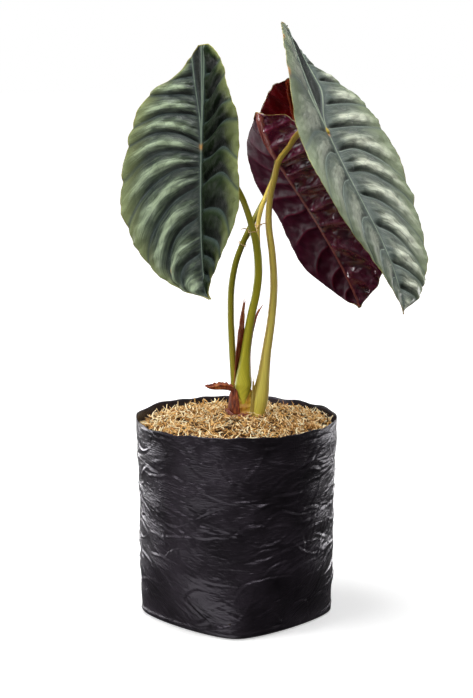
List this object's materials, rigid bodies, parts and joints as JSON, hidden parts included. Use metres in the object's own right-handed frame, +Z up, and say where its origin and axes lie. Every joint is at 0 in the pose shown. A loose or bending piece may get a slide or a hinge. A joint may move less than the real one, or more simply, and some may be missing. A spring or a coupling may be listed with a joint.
{
  "type": "potted alocasia",
  "caption": "Potted alocasia: shield-shaped, veined leaves with plum undersides on slender petioles, in a round black film grow bag topped with shredded fibre.",
  "frame": {"origin": "middle of the grow bag's flat base, where it stands on the floor", "axes": "+Z up along the bag's axis; the bag's front corner and the two leaves with their upper sides in view face -Y; +X to their right"},
  "size_m": [0.1911, 0.2204, 0.3835],
  "materials": {
    "film": "satin",
    "peat": "matte",
    "fibre": "matte",
    "bark": "matte",
    "green_stem": "satin",
    "bronze_stem": "satin",
    "green_blade": "satin",
    "silver_blade": "satin",
    "plum_blade": "gloss",
    "garnet_blade": "satin",
    "husk": "matte",
    "raffia": "matte"
  },
  "bodies": {
    "root": {"grow_bag": "film", "potting_mix": "peat", "mulch": "fibre", "rhizome": "bark", "petiole_left": "green_stem", "petiole_right": "bronze_stem", "petiole_rear": "green_stem", "petiole_back": "bronze_stem", "leaf_left": "green_blade", "leaf_right": "silver_blade", "leaf_rear": "plum_blade", "leaf_back": "garnet_blade", "cataphyll": "husk", "dry_sheath": "husk", "tie": "raffia"}
  },
  "joints": []
}
